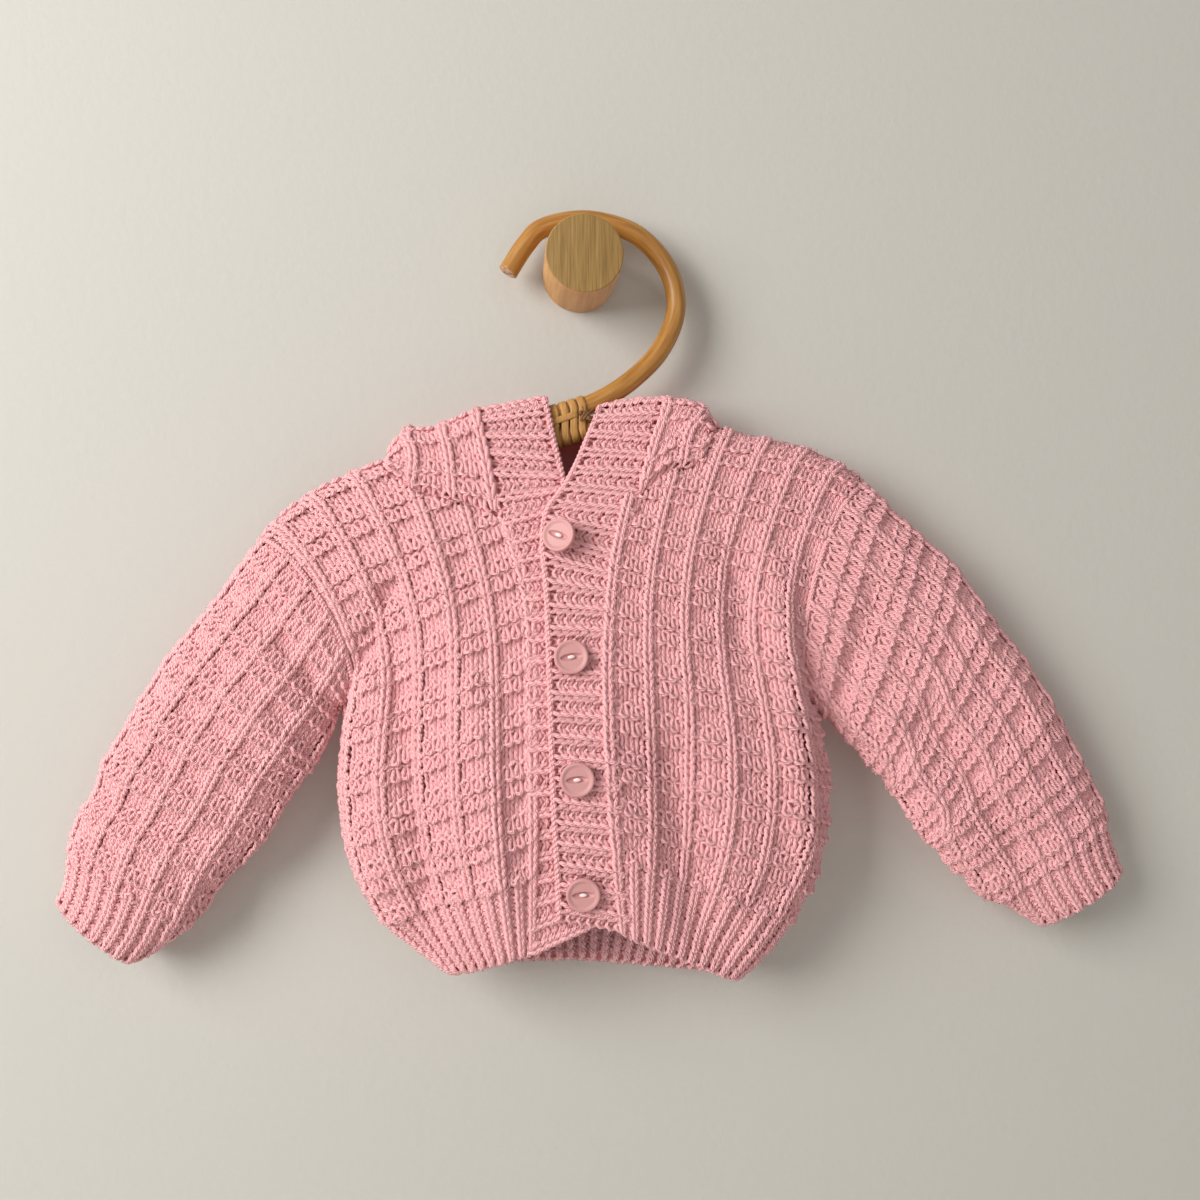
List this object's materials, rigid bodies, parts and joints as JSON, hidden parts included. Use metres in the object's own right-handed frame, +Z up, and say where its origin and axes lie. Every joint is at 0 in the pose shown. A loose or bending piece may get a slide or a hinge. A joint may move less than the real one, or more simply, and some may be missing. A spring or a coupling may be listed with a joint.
{
  "type": "hand-knitted hooded baby cardigan on a rattan hanger with a round wooden wall peg",
  "caption": "Hand-knitted baby cardigan with ribbed bands and a fallen-back hood, buttoned and hanging from a cane hanger on a round wall peg.",
  "frame": {"origin": "middle of the round wall peg's flat back face, where it meets the wall", "axes": "+X to the right seen from the front, +Y into the wall, +Z up"},
  "size_m": [0.503, 0.0583, 0.363],
  "materials": {
    "yarn": "soft matt hand-knitted double-knitting yarn, pale pink",
    "button": "satin pink with an eye-shaped hollow",
    "rattan": "clear-varnished bent cane",
    "binding": "flat split cane, matt",
    "peg_wood": "turned wood, thin satin lacquer"
  },
  "bodies": {
    "root": {"right_front": "yarn", "left_front": "yarn", "back": "yarn", "right_sleeve": "yarn", "left_sleeve": "yarn", "front_band": "yarn", "hood": "yarn", "hanger_hook": "rattan", "hanger_bar": "rattan", "hanger_binding": "binding", "wall_peg": "peg_wood", "button_1": "button", "button_2": "button", "button_3": "button", "button_4": "button"}
  },
  "joints": []
}
